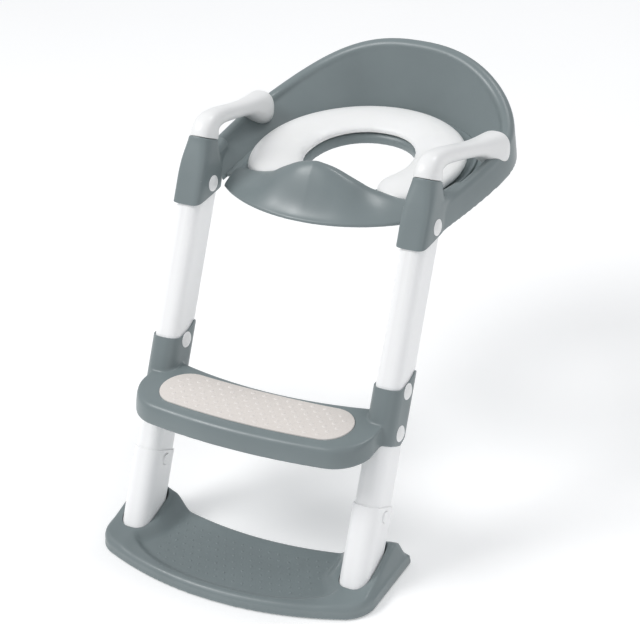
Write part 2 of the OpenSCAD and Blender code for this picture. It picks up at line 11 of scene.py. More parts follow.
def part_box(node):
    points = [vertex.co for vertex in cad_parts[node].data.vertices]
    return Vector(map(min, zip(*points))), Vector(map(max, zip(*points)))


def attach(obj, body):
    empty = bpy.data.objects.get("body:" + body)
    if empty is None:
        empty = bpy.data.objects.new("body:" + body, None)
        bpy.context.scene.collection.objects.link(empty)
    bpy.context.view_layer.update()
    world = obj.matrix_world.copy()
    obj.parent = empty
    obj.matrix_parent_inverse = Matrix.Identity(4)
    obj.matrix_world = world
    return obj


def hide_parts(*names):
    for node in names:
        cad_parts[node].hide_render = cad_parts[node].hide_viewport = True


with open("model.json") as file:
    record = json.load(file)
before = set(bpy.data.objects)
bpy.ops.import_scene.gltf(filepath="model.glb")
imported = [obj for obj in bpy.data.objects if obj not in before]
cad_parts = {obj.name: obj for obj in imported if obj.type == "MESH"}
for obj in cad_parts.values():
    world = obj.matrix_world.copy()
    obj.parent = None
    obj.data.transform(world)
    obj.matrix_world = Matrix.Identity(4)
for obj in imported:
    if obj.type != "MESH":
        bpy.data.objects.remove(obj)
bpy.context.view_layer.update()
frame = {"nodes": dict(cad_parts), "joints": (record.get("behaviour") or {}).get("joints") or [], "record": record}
MM = 0.001
SIDES = (-1, 1)
MOULDING_VOXEL, SHELL_VOXEL, GRIP_VOXEL, FOAM_VOXEL = 1.5, 1.6, 1.1, 3.0

# ---------------------------------------------------------------- shared dimensions
# Each comes from the frame: the fold joint gives the leg's line and the pivot.

JOINTS = {joint["name"]: joint for joint in frame["joints"]}
PIVOT = Vector(JOINTS["seat_fold"]["pos_m"]) / MM
LEG_AXIS = Vector(JOINTS["height_slide"]["axis"]).normalized()
LEG_BACK = Vector((0, LEG_AXIS.z, -LEG_AXIS.y))
LEG_FOOT_Y = PIVOT.y - PIVOT.z * LEG_AXIS.y / LEG_AXIS.z
PIVOT_AT = PIVOT.z / LEG_AXIS.z
FOLD_MAX = math.radians(JOINTS["seat_fold"]["range_deg"][1])


def node_box(node):
    low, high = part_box(node)
    return low / MM, high / MM


TUBE_LOW, TUBE_HIGH = node_box("right_upper_tube")
LEG_X = (TUBE_LOW.x + TUBE_HIGH.x) / 2
TUBE_W = TUBE_HIGH.x - TUBE_LOW.x
TUBE_D = 52.0
TUBE_R = 14.0
SLEEVE_LOW, SLEEVE_HIGH = node_box("right_sleeve")
SLEEVE_GROW = (SLEEVE_HIGH.x - SLEEVE_LOW.x - TUBE_W) / 2
SEAT_Z = node_box("backrest_shell")[0].z
CUSHION_LOW, CUSHION_HIGH = node_box("seat_cushion")


def leg_point(side, at, back=0.0, across=0.0):
    """A point given by its length along a leg, its distance behind the centre line and across."""
    return Vector((side * LEG_X + across, LEG_FOOT_Y, 0)) + LEG_AXIS * at + LEG_BACK * back


# ---------------------------------------------------------------- mesh helpers


def smoothstep(low, high, value):
    t = min(max((value - low) / (high - low), 0.0), 1.0)
    return t * t * (3 - 2 * t)


def table_value(rows, at, column):
    """Straight interpolation down a short table whose first column rises."""
    if at <= rows[0][0]:
        return rows[0][column]
    for low, high in zip(rows, rows[1:]):
        if at <= high[0]:
            t = (at - low[0]) / (high[0] - low[0])
            return low[column] + (high[column] - low[column]) * t
    return rows[-1][column]


def superellipse(a, b, power, count):
    ring = []
    for i in range(count):
        c = math.cos(2 * math.pi * i / count)
        s = math.sin(2 * math.pi * i / count)
        x = a * math.copysign(abs(c) ** (2 / power), c)
        y = b * math.copysign(abs(s) ** (2 / power), s)
        ring.append((x, y))
    return ring


def rounded_rect(width, depth, radius, per_corner=7):
    ring = []
    for quarter in range(4):
        sx = 1 if quarter in (0, 3) else -1
        sy = 1 if quarter in (0, 1) else -1
        for i in range(per_corner + 1):
            a = math.pi / 2 * (quarter + i / per_corner)
            ring.append((
                sx * (width / 2 - radius) + radius * math.cos(a),
                sy * (depth / 2 - radius) + radius * math.sin(a),
            ))
    return ring


def mesh_object(name, points, faces):
    """A mesh from points in millimetres."""
    mesh = bpy.data.meshes.new(name)
    mesh.from_pydata([tuple(c * MM for c in p) for p in points], [], faces)
    mesh.validate()
    obj = bpy.data.objects.new(name, mesh)
    bpy.context.scene.collection.objects.link(obj)
    fix_normals(obj)
    return obj


def fix_normals(obj):
    bm = bmesh.new()
    bm.from_mesh(obj.data)
    bmesh.ops.recalc_face_normals(bm, faces=bm.faces)
    bm.to_mesh(obj.data)
    bm.free()


def loft(name, rings, closed=False):
    """A skin over rings of equal length, capped at both ends unless the rings close on themselves."""
    count = len(rings[0])
    points = [p for ring in rings for p in ring]
    faces = []
    spans = len(rings) if closed else len(rings) - 1
    for i in range(spans):
        a, b = i * count, ((i + 1) % len(rings)) * count
        for j in range(count):
            k = (j + 1) % count
            faces.append((a + j, a + k, b + k, b + j))
    if not closed:
        faces.append(tuple(range(count)))
        faces.append(tuple(range(len(points) - 1, len(points) - count - 1, -1)))
    return mesh_object(name, points, faces)


def select_only(objects):
    bpy.ops.object.select_all(action="DESELECT")
    for obj in objects:
        obj.select_set(True)
    bpy.context.view_layer.objects.active = objects[0]


def join(objects, name):
    select_only(objects)
    bpy.ops.object.join()
    objects[0].name = name
    objects[0].data.name = name
    return objects[0]


def apply_modifiers(obj):
    select_only([obj])
    for modifier in list(obj.modifiers):
        bpy.ops.object.modifier_apply(modifier=modifier.name)


def merge_solid(obj, voxel, smoothing):
    """Turns overlapping closed shells into one even mesh with softened joins."""
    remesh = obj.modifiers.new("remesh", "REMESH")
    remesh.mode = "VOXEL"
    remesh.voxel_size = voxel * MM * 1.0
    remesh.use_smooth_shade = True
    if smoothing:
        smooth = obj.modifiers.new("smooth", "SMOOTH")
        smooth.iterations = smoothing
        smooth.factor = 0.5
    apply_modifiers(obj)


def cut(obj, cutter):
    boolean = obj.modifiers.new("cut", "BOOLEAN")
    boolean.operation = "DIFFERENCE"
    boolean.solver = "EXACT"
    boolean.object = cutter
    apply_modifiers(obj)
    bpy.data.objects.remove(cutter)


def box_object(name, low, high):
    points = [
        (x, y, z) for x in (low[0], high[0]) for y in (low[1], high[1]) for z in (low[2], high[2])
    ]
    faces = [(0, 1, 3, 2), (4, 6, 7, 5), (0, 4, 5, 1), (2, 3, 7, 6), (0, 2, 6, 4), (1, 5, 7, 3)]
    return mesh_object(name, points, faces)


def shade(obj, angle=40):
    """Smooth shading that stays crisp at corners sharper than the angle."""
    select_only([obj])
    bpy.ops.object.shade_smooth_by_angle(angle=math.radians(angle))


# ---------------------------------------------------------------- materials


class Nodes:
    """A short way to wire a procedural material."""

    def __init__(self, name):
        self.material = bpy.data.materials.new(name)
        self.material.use_nodes = True
        self.tree = self.material.node_tree
        self.shader = self.tree.nodes["Principled BSDF"]
        self.coords = self.tree.nodes.new("ShaderNodeTexCoord").outputs["Object"]

    def add(self, kind, **values):
        node = self.tree.nodes.new(kind)
        for key, value in values.items():
            if key in node.inputs:
                node.inputs[key].default_value = value
            else:
                setattr(node, key, value)
        return node

    def link(self, a, b):
        self.tree.links.new(a, b)

    def noise(self, scale, detail=2.0, rough=0.5):
        node = self.add("ShaderNodeTexNoise", Scale=scale, Detail=detail, Roughness=rough)
        self.link(self.coords, node.inputs["Vector"])
        return node.outputs["Fac"]

    def spread(self, value, low, high, from_low=0.3, from_high=0.7):
        node = self.add("ShaderNodeMapRange")
        node.inputs["From Min"].default_value = from_low
        node.inputs["From Max"].default_value = from_high
        node.inputs["To Min"].default_value = low
        node.inputs["To Max"].default_value = high
        self.link(value, node.inputs["Value"])
        return node.outputs["Result"]

    def mix_colour(self, factor, a, b):
        node = self.add("ShaderNodeMix", data_type="RGBA")
        node.inputs[6].default_value = (*a, 1)
        node.inputs[7].default_value = (*b, 1)
        self.link(factor, node.inputs[0])
        return node.outputs[2]

    def bump(self, height, strength, distance, under=None):
        node = self.add("ShaderNodeBump", Strength=strength, Distance=distance * MM)
        self.link(height, node.inputs["Height"])
        if under is not None:
            self.link(under, node.inputs["Normal"])
        return node.outputs["Normal"]

    def edges(self):
        """1 on convex edges, 0 elsewhere: rubbed wear on the plastics, a painted highlight on the mat's dots."""
        geometry = self.add("ShaderNodeNewGeometry")
        return self.spread(geometry.outputs["Pointiness"], 0, 1, 0.53, 0.60)


def plastic(name, colour, rough, grain, spread=0.06, coat=0.0, subsurface=0.0):
    """Injection-moulded plastic: fine spark grain, faint flow marks and brighter rubbed edges."""
    n = Nodes(name)
    darker = tuple(c * (1 - spread) for c in colour)
    lighter = tuple(min(c * (1 + spread), 1) for c in colour)
    cloud = n.spread(n.noise(9, 3), 0, 1)
    body = n.mix_colour(cloud, darker, lighter)
    worn = n.add("ShaderNodeMix", data_type="RGBA")
    n.link(n.edges(), worn.inputs[0])
    n.link(body, worn.inputs[6])
    worn.inputs[7].default_value = (*(min(c * 1.25 + 0.01, 1) for c in colour), 1)
    n.link(worn.outputs[2], n.shader.inputs["Base Color"])
    n.link(n.spread(n.noise(38, 4), rough - 0.05, rough + 0.06), n.shader.inputs["Roughness"])
    fine = n.bump(n.noise(2600, 1), grain, 0.05)
    n.link(n.bump(n.noise(55, 2), 0.12, 0.12, fine), n.shader.inputs["Normal"])
    n.shader.inputs["Specular IOR Level"].default_value = 0.5
    n.shader.inputs["Coat Weight"].default_value = coat
    n.shader.inputs["Coat Roughness"].default_value = 0.25
    if subsurface:
        n.shader.inputs["Subsurface Weight"].default_value = subsurface
        n.shader.inputs["Subsurface Radius"].default_value = (0.004, 0.004, 0.0038)
    return n.material


def cushion_skin():
    """Soft foam with a smooth skin: a faint pebble, a soft sheen and light shining in a little."""
    n = Nodes("cushion_skin")
    cloud = n.spread(n.noise(14, 3), 0, 1)
    n.link(n.mix_colour(cloud, (0.87, 0.87, 0.86), (0.92, 0.92, 0.915)), n.shader.inputs["Base Color"])
    n.link(n.spread(n.noise(60, 3), 0.36, 0.46), n.shader.inputs["Roughness"])
    pebble = n.add("ShaderNodeTexVoronoi", Scale=900.0)
    n.link(n.coords, pebble.inputs["Vector"])
    fine = n.bump(pebble.outputs["Distance"], 0.10, 0.06)
    n.link(n.bump(n.noise(30, 2), 0.15, 0.4, fine), n.shader.inputs["Normal"])
    n.shader.inputs["Subsurface Weight"].default_value = 0.15
    n.shader.inputs["Subsurface Radius"].default_value = (0.006, 0.006, 0.0055)
    n.shader.inputs["Sheen Weight"].default_value = 0.15
    return n.material


def mat_rubber():
    """Soft beige rubber: matt, finely speckled, with a painted highlight: paler colour on its convex edges and dot
    tops.
    """
    n = Nodes("mat_rubber")
    body = n.mix_colour(n.spread(n.noise(700, 3), 0, 1), (0.71, 0.66, 0.62), (0.77, 0.72, 0.68))
    # Painted highlight: convex edges and the tops of the dots are mixed towards a paler beige.
    pale = n.add("ShaderNodeMix", data_type="RGBA")
    n.link(n.edges(), pale.inputs[0])
    n.link(body, pale.inputs[6])
    pale.inputs[7].default_value = (0.90, 0.87, 0.84, 1)
    n.link(pale.outputs[2], n.shader.inputs["Base Color"])
    n.link(n.spread(n.noise(120, 3), 0.55, 0.7), n.shader.inputs["Roughness"])
    n.link(n.bump(n.noise(1500, 3), 0.3, 0.08), n.shader.inputs["Normal"])
    return n.material


def dark_rubber():
    n = Nodes("dark_rubber")
    n.link(n.mix_colour(n.noise(300, 3), (0.035, 0.037, 0.04), (0.06, 0.062, 0.066)),
           n.shader.inputs["Base Color"])
    n.link(n.spread(n.noise(90, 3), 0.6, 0.8), n.shader.inputs["Roughness"])
    n.link(n.bump(n.noise(1200, 3), 0.35, 0.1), n.shader.inputs["Normal"])
    return n.material


def plated_steel():
    n = Nodes("plated_steel")
    n.link(n.mix_colour(n.noise(80, 3), (0.52, 0.53, 0.55), (0.66, 0.67, 0.69)),
           n.shader.inputs["Base Color"])
    n.shader.inputs["Metallic"].default_value = 1
    n.link(n.spread(n.noise(400, 2), 0.25, 0.4), n.shader.inputs["Roughness"])
    n.link(n.bump(n.noise(1800, 1), 0.15, 0.03), n.shader.inputs["Normal"])
    return n.material


GREY_COLOUR = (0.205, 0.243, 0.250)
WHITE_COLOUR = (0.90, 0.90, 0.895)
MATERIALS = {
    "grey_plastic": plastic("grey_plastic", GREY_COLOUR, 0.34, 0.20),
    "white_plastic": plastic("white_plastic", WHITE_COLOUR, 0.33, 0.08, spread=0.02, subsurface=0.1),
    "white_cushion": cushion_skin(),
    "mat_rubber": mat_rubber(),
    "dark_rubber": dark_rubber(),
    "steel": plated_steel(),
}
SLOTS = {part["node"]: part["material_slot"] for part in frame["record"]["subparts"]}


def finish_piece(obj, body, slot_name, *nodes):
    obj.data.materials.clear()
    obj.data.materials.append(MATERIALS[slot_name])
    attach(obj, body)
    if nodes:
        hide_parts(*nodes)
    return obj


def dress_cad_nodes():
    """Every CAD node that stays gets its procedural material and a small softened edge."""
    for name, obj in frame["nodes"].items():
        obj.data.materials.clear()
        obj.data.materials.append(MATERIALS[SLOTS[name]])
        if not obj.hide_render:
            bevel = obj.modifiers.new("edge", "BEVEL")
            bevel.width = 0.4 * MM
            bevel.segments = 2
            bevel.limit_method = "ANGLE"
            bevel.angle_limit = math.radians(50)


# ---------------------------------------------------------------- legs swept by the fold


def tube_ring(side, at, grow, half_depth=None):
    ring = []
    for x, b in rounded_rect(TUBE_W + 2 * grow, TUBE_D + 2 * grow, TUBE_R + grow):
        if half_depth is not None:
            b = min(max(b, -half_depth), half_depth)
        ring.append(leg_point(side, at, b, x))
    return ring


def tube_prism(name, side, low, high, grow):
    return loft(name, [tube_ring(side, at, grow) for at in (low, high)])


def leg_end(name, side, grow, angle):
    """The leg's round top end, turned about the fold by an angle in radians."""
    radius = TUBE_D / 2 + grow
    rings = [tube_ring(side, at, grow) for at in (PIVOT_AT - 130, PIVOT_AT)]
    for i in range(1, 9):
        a = math.pi / 2 * i / 8.2
        rings.append(tube_ring(side, PIVOT_AT + radius * math.sin(a), grow, radius * math.cos(a)))
    turn = Matrix.Translation(PIVOT) @ Matrix.Rotation(angle, 4, "X") @ Matrix.Translation(-PIVOT)
    return loft(name, [[turn @ p for p in ring] for ring in rings])


def leg_sweep(side):
    steps = 12
    room = 0.5
    parts = [leg_end(f"sweep{i}", side, room, FOLD_MAX * i / steps) for i in range(steps + 1)]
    sweep = join(parts, "leg_sweep")
    merge_solid(sweep, MOULDING_VOXEL / (1.0), 0)
    return sweep


# ---------------------------------------------------------------- backrest shell

WALL_START_Y = 269.0
# Half width, depth of the round back, its centre along Y, half width at the front of the arms
WALL_CURVES = {
    "outer_low": (196, 150, 413, 180),
    "outer_top": (189.5, 169, 413, 178),
    "inner_top": (173, 151.5, 411, 162),
    "inner_low": (147, 147, 386, 144),
}
ARM_SHARE = 0.35
ARM_TOP = 424.0
BACK_TOP = 486.0
WALL_THICK = 3.4


def wall_plan(curve, t):
    rx, ry, cy, front_x = WALL_CURVES[curve]
    if t < ARM_SHARE:
        k = t / ARM_SHARE
        return Vector((rx - (rx - front_x) * (1 - k) ** 1.6, WALL_START_Y + (cy - WALL_START_Y) * k))
    a = math.pi / 2 * (t - ARM_SHARE) / (1 - ARM_SHARE)
    return Vector((rx * max(math.cos(a), 0) ** (2 / 2.4), cy + ry * math.sin(a) ** (2 / 2.4)))


def wall_top(t):
    if t < ARM_SHARE:
        return ARM_TOP
    a = math.pi / 2 * (t - ARM_SHARE) / (1 - ARM_SHARE)
    return ARM_TOP + (BACK_TOP - ARM_TOP) * math.sin(a) ** 2.3


def wall_ring(side, t, depth=0.0):
    """Outline of the wall across its thickness: up the outside, over the rim, down inside.

    depth moves the outline into the wall, for the hollow under the moulding."""
    low_out, top_out = wall_plan("outer_low", t), wall_plan("outer_top", t)
    top_in, low_in = wall_plan("inner_top", t), wall_plan("inner_low", t)
    top = wall_top(t)
    rise = top - SEAT_Z
    rim = (top_out - top_in).length / 2
    steps = 10
    ring = []
    for i in range(steps + 1):
        s = i / steps
        plan = low_out.lerp(top_out, s ** 1.5)
        across = (low_in.lerp(top_in, s ** 0.85) - plan).normalized()
        ring.append((plan + across * depth, SEAT_Z + s * (rise - rim)))
    for i in range(1, 12):
        a = math.pi * i / 12
        share = 0.5 + 0.5 * math.cos(a) * (1 - depth / rim)
        ring.append((top_in.lerp(top_out, share), top - rim + (rim - depth) * math.sin(a)))
    for i in range(steps + 1):
        s = 1 - i / steps
        plan = low_in.lerp(top_in, s ** 0.85)
        across = (low_out.lerp(top_out, s ** 1.5) - plan).normalized()
        ring.append((plan + across * depth, SEAT_Z + s * (rise - rim)))
    if depth:
        first, last = ring[0][0], ring[-1][0]
        ring = [(first, SEAT_Z - 9), *ring, (last, SEAT_Z - 9)]
    return [(side * plan.x, plan.y, z) for plan, z in ring]


# Length along the leg, half width, half depth, shift back, squareness
SOCKET_ROWS = [
    (400, 20.6, 28.6, 0.0, 6.0),
    (455, 20.6, 28.6, 0.0, 6.0),
    (472, 20.5, 28.0, -0.6, 6.0),
    (488, 20.0, 26.0, -2.2, 5.0),
    (500, 18.9, 23.0, -4.6, 3.8),
    (512, 17.3, 20.2, -6.8, 3.0),
    (520, 16.6, 19.6, -7.7, 2.6),
]
SEAM_AT = 520


def socket_ring(side, at):
    a, b, shift, power = (table_value(SOCKET_ROWS, at, column) for column in (1, 2, 3, 4))
    return [leg_point(side, at, shift + y, x) for x, y in superellipse(a, b, power, 48)]


def build_backrest():
    stations = 44
    path = [(-1, i / stations) for i in range(stations + 1)]
    path += [(1, i / stations) for i in range(stations - 1, -1, -1)]
    parts = [loft("wall", [wall_ring(side, t) for side, t in path])]
    for side in SIDES:
        rings = [socket_ring(side, at) for at in range(400, SEAM_AT, 8)]
        rings.append(socket_ring(side, SEAM_AT - 0.2))
        parts.append(loft("socket", rings))
        parts.append(arm_root(side))
    shell = join(parts, "backrest_moulding")
    merge_solid(shell, SHELL_VOXEL, 5)
    cut(shell, box_object("below", (-260, 100, 250), (260, 700, SEAT_Z)))
    for side in SIDES:
        cut(shell, leg_sweep(side))
    hollow_wall(shell)
    shade(shell)
    return finish_piece(shell, "seat", "grey_plastic", "backrest_shell")


def arm_root(side):
    """The thick root of the arm behind the socket, under the hand opening."""
    # Place along Y, distance out, half width, height of the top, corner radius
    rows = [
        (258, 160.5, 19.0, 437, 9),
        (272, 163.0, 17.0, 434, 9),
        (290, 166.0, 13.5, 429, 9),
        (312, 170.0, 10.5, 425, 8),
        (335, 173.0, 9.0, 424, 8),
    ]
    sunk = 6
    rings = []
    for y, x, half, top, corner in rows:
        height = top - SEAT_Z + sunk
        rings.append([
            (side * (x + px), y, SEAT_Z - sunk + height / 2 + pz)
            for px, pz in rounded_rect(2 * half, height, corner - 0.5)
        ])
    return loft("arm_root", rings)


def hollow_wall(shell):
    """The backrest is a hollow moulding, open below; its arms are solid at the front."""
    stations, first = 40, 13
    path = [(-1, i / stations) for i in range(first, stations + 1)]
    path += [(1, i / stations) for i in range(stations - 1, first - 1, -1)]
    cut(shell, loft("hollow", [wall_ring(side, t, WALL_THICK) for side, t in path]))


# ---------------------------------------------------------------- handles

# Place back, height, half width, half thickness
HANDLE_ROWS = [
    (274.3, 456.4, 16.5, 19.5),
    (278.8, 464.3, 16.2, 18.4),
    (285.5, 469.8, 15.4, 15.4),
    (297.0, 471.3, 14.5, 12.6),
    (314.0, 468.8, 13.8, 10.9),
    (338.0, 461.3, 13.4, 10.2),
    (364.0, 452.5, 13.6, 10.0),
    (386.0, 445.0, 14.4, 10.6),
    (401.0, 439.5, 15.6, 12.6),
    (413.0, 433.5, 17.4, 16.6),
    (424.0, 427.5, 19.6, 20.5),
    (433.0, 423.0, 20.8, 22.5),
    (440.0, 421.0, 19.6, 21.5),
    (444.5, 420.5, 14.5, 15.5),
]
GRIP_X0, GRIP_X1 = 159.5, 174.0


def catmull(points, steps):
    """A smooth curve through points of any length, as lists of numbers."""
    out = []
    ext = [points[0], *points, points[-1]]
    for i in range(1, len(ext) - 2):
        p0, p1, p2, p3 = (np.array(ext[k], float) for k in (i - 1, i, i + 1, i + 2))
        for s in range(steps):
            t = s / steps
            out.append(0.5 * (2 * p1 + (p2 - p0) * t + (2 * p0 - 5 * p1 + 4 * p2 - p3) * t * t
                              + (3 * p1 - p0 - 3 * p2 + p3) * t ** 3))
    out.append(np.array(points[-1], float))
    return out


def build_handle(side, name, node):
    rows = catmull([list(row) for row in HANDLE_ROWS], 5)
    rings = []
    for i, (y, z, a, b) in enumerate(rows):
        before, after = rows[max(i - 1, 0)], rows[min(i + 1, len(rows) - 1)]
        along = Vector((0, after[0] - before[0], after[1] - before[1])).normalized()
        if i == 0:
            along = LEG_AXIS
        down = Vector((0, along.z, -along.y))
        share = max((y - 290) / (HANDLE_ROWS[-1][0] - 290), 0)
        x = GRIP_X0 + (GRIP_X1 - GRIP_X0) * share ** 1.2
        centre = Vector((side * x, y, z))
        rings.append([
            centre + Vector((px, 0, 0)) + down * py for px, py in superellipse(a, b, 2.5, 40)
        ])
    grip = loft(name, rings)
    merge_solid(grip, GRIP_VOXEL, 4)
    cut(grip, seam_cutter(side))
    shade(grip)
    return finish_piece(grip, "seat", "white_plastic", node)


def seam_cutter(side):
    """Everything below the plane where the handle meets its socket."""
    corners = ((-40, -45), (40, -45), (40, 40), (-40, 40))
    ring = [leg_point(side, SEAM_AT + 0.3, b, x) for x, b in corners]
    low = [p - LEG_AXIS * 30 for p in ring]
    return loft("seam", [low, ring])


# ---------------------------------------------------------------- cushion

CUSHION_Y = 386.0
CUSHION_OUTER_SIDE, CUSHION_OUTER_BACK = 145.0, 141.0
HOLE_SIDE, HOLE_BACK, HOLE_CORNER = 70.0, 77.0, 2.0
CUSHION_END = math.radians(117)
CROWN_SHARE = 0.16
PLUMP_FRAMES, PLUMP_CAP = 12, 1.6


def hole_radius(angle):
    """Radius of the hole at an angle from straight back: round in front, squarer behind."""
    back = max(math.cos(angle), 0.0)
    corner = HOLE_CORNER * (2 * back * math.sin(angle)) ** 2
    return HOLE_SIDE + (HOLE_BACK - HOLE_SIDE) * back ** 2 + corner


def cushion_ring(angle, beyond):
    """Section of the horseshoe cushion: crowned towards its outside, with a long slope to the hole."""
    back = max(math.cos(angle), 0.0) ** 2
    inner = hole_radius(angle) + 1
    outer = CUSHION_OUTER_SIDE + (CUSHION_OUTER_BACK - CUSHION_OUTER_SIDE) * back
    mid, full = (outer + inner) / 2, (outer - inner) / 2
    shrink = math.sqrt(max(1 - (beyond / full) ** 2, 0.0004))
    half = full * shrink
    thick = CUSHION_HIGH.z - CUSHION_LOW.z
    outward = Vector((math.sin(angle), math.cos(angle)))
    tangent = Vector((math.cos(angle), -math.sin(angle))) * math.copysign(1, angle)
    centre = Vector((0, CUSHION_Y)) + outward * mid + tangent * beyond
    ring = []
    count = 40
    for i in range(count):
        a = 2 * math.pi * i / count
        c, s = math.cos(a), math.sin(a)
        across = math.copysign(abs(c) ** (2 / 2.5), c)
        if s >= 0:
            slope = 0.55 + 0.45 * min(c + 1, 1)
            across = abs(c) ** 0.8 if c > 0 else -abs(c) ** (0.8 / slope)
            z = 0.30 + 0.70 * shrink ** 0.55 * s ** (2 / 2.3)
            across += CROWN_SHARE * s * s
        else:
            z = 0.30 - 0.30 * abs(s) ** (2 / 3.6)
        p = centre + outward * (half * across)
        ring.append((p.x, p.y, CUSHION_LOW.z + thick * z))
    return ring


def build_cushion():
    rings = []
    end_half = (CUSHION_OUTER_SIDE - HOLE_SIDE - 1) / 2
    caps = [end_half * math.sin(math.pi / 2 * i / 9) for i in range(9, 0, -1)]
    rings += [cushion_ring(-CUSHION_END, d) for d in caps]
    steps = 60
    rings += [cushion_ring(CUSHION_END * (2 * i / steps - 1) or 1e-9, 0.0) for i in range(steps + 1)]
    rings += [cushion_ring(CUSHION_END, d) for d in reversed(caps)]
    cushion = loft("seat_cushion_soft", rings)
    plump(cushion)
    sub = cushion.modifiers.new("round", "SUBSURF")
    sub.levels = sub.render_levels = 1
    apply_modifiers(cushion)
    shade(cushion, 60)
    return finish_piece(cushion, "cushion", "white_cushion", "seat_cushion")


def plump(obj):
    """Foam pushing out its skin: a short pressure simulation, held within a small cap."""
    merge_solid(obj, FOAM_VOXEL, 2)
    rest = np.array([v.co for v in obj.data.vertices])
    cloth = obj.modifiers.new("cloth", "CLOTH")
    cloth.settings.use_pressure = True
    cloth.settings.uniform_pressure_force = 3
    cloth.settings.effector_weights.gravity = 0
    scene = bpy.context.scene
    for number in range(1, PLUMP_FRAMES + 1):
        scene.frame_set(number)
    apply_modifiers(obj)
    scene.frame_set(1)
    low = CUSHION_LOW.z * MM
    cap = PLUMP_CAP * MM
    for vertex, start in zip(obj.data.vertices, rest):
        move = np.array(vertex.co) - start
        size = np.linalg.norm(move)
        if size > cap:
            move = move * cap / size
        vertex.co = start + move
        if start[2] < low + 1.5 * MM:
            vertex.co.z = start[2]


# ---------------------------------------------------------------- seat base with splash hump

RIM_Y, RIM_RX, RIM_RY = 356.0, 176.0, 132.0
# Place across, height of the crest, place of the crest along Y
CREST_ROWS = [
    (0, 450, 275), (24, 444.5, 275.5), (50, 431, 278), (75, 415, 286),
    (100, 406, 296), (122, 404, 302), (136, 401, 304),
]


def apron_profile(x, crest):
    """From under the front rim up to the crest and down into the hole, at one place across."""
    crest_z, crest_y = crest
    rim = RIM_Y - RIM_RY * math.sqrt(1 - (x / RIM_RX) ** 2)
    wide = smoothstep(62, 80, abs(x))
    end_y = 304 + 44 * wide
    end_z = 367 + 26 * wide
    low = SEAT_Z
    bell = smoothstep(400, 450, crest_z)
    points = [
        (end_y - 5, low if wide > 0.5 else end_z), (rim + 8, low), (rim + 1.5, low), (rim, low + 1.5),
    ]
    start = Vector((rim + 0.4, low + 4))
    steps = 18
    for i in range(steps + 1):
        s = i / steps
        flat = 1 - (1 - s) ** 1.7
        steep = 0.30 * s + 0.70 * s * s * (3 - 2 * s)
        lift = flat + (steep - flat) * bell
        points.append((start.x + (crest_y - start.x) * s, start.y + (crest_z - start.y) * lift))
    drop_to = min(end_y, 304 + 6 * wide)
    for i in range(1, 8):
        a = math.pi / 2 * i / 7
        y = crest_y + (drop_to - crest_y) * math.sin(a)
        fall = (1 - math.cos(a)) * (crest_z - (398 - 2 * wide))
        points.append((y, crest_z - fall))
    points.append((end_y, 395 if wide > 0.5 else 396))
    points.append((end_y, end_z))
    return [(x, y, z) for y, z in points]


def build_seat_base():
    crests = catmull([list(row) for row in CREST_ROWS], 8)
    right = [(row[0], (row[1], row[2])) for row in crests]
    stations = [(-x, crest) for x, crest in reversed(right[1:])] + right
    parts = [loft("apron", [apron_profile(x, crest) for x, crest in stations])]
    parts.append(collar())
    parts.append(shelf())
    base = join(parts, "seat_base_moulding")
    merge_solid(base, MOULDING_VOXEL, 6)
    outline = []
    for i in range(72):
        a = 2 * math.pi * i / 72
        r, back = hole_radius(a) - 0.8, math.cos(a)
        outline.append((r * math.sin(a), CUSHION_Y + (r if back > 0 else 80) * back))
    clear_hole = loft("hole", [[(x, y, z) for x, y in outline] for z in (355, 397)])
    cut(base, clear_hole)
    for side in SIDES:
        low_x, high_x = sorted((side * (LEG_X - TUBE_W / 2 - 2), side * 260))
        cut(base, box_object("leg_room", (low_x, 200, 360), (high_x, 295, 460)))
    shade(base)
    return finish_piece(base, "seat", "grey_plastic", "seat_base")


# Section of the skirt: distance beyond the hole's edge, height
COLLAR_ROWS = [
    (6.0, 393.5), (2.5, 390.0), (1.0, 383.0), (2.2, 380.6), (4.2, 381.0), (6.2, 388.0),
    (9.0, 390.0), (33.0, 390.0), (33.0, 393.5),
]


def collar():
    """Skirt round the hole, which hangs inside the bowl."""
    steps = 72
    rings = []
    for i in range(steps):
        a = 2 * math.pi * i / steps
        c, s = math.cos(a), math.sin(a)
        stretch = 1.0 if s > 0 else 1 + 0.12 * s * s
        edge = hole_radius(math.atan2(c, s))
        rings.append([((edge + beyond) * c, CUSHION_Y + (edge + beyond) * s * stretch, z)
                      for beyond, z in COLLAR_ROWS])
    return loft("collar", rings, closed=True)


def shelf():
    """Flange under the cushion, out to the foot of the wall."""
    stations = 36
    edge = [(-1, i / stations) for i in range(3, stations + 1)]
    edge += [(1, i / stations) for i in range(stations - 1, 2, -1)]
    rings = []
    for side, t in edge:
        foot = wall_plan("inner_low", t)
        inward = (Vector((0, CUSHION_Y)) - foot).normalized()
        near, far = foot - inward * 3, foot + inward * 55
        rings.append([(side * p.x, p.y, z) for p, z in (
            (near, SEAT_Z), (near, SEAT_Z + 6), (foot + inward * 2, SEAT_Z + 5),
            (foot + inward * 5, SEAT_Z + 3.6), (far, SEAT_Z + 3.6), (far, SEAT_Z))])
    return loft("shelf", rings)


# ---------------------------------------------------------------- foot base


def front_edge(x, front, radius, half, corner):
    """Y of a curved front edge with rounded corners at x."""
    ax = min(abs(x), half)
    centre = front + radius
    reach = radius - corner
    corner_x = half - corner
    corner_y = centre - math.sqrt(reach ** 2 - corner_x ** 2)
    tangent_x = radius * corner_x / reach
    if ax <= tangent_x:
        return centre - math.sqrt(radius ** 2 - ax ** 2)
    return corner_y - math.sqrt(max(corner ** 2 - (ax - corner_x) ** 2, 0))


def back_edge(x, back, radius):
    return back + radius - math.sqrt(radius ** 2 - x ** 2)


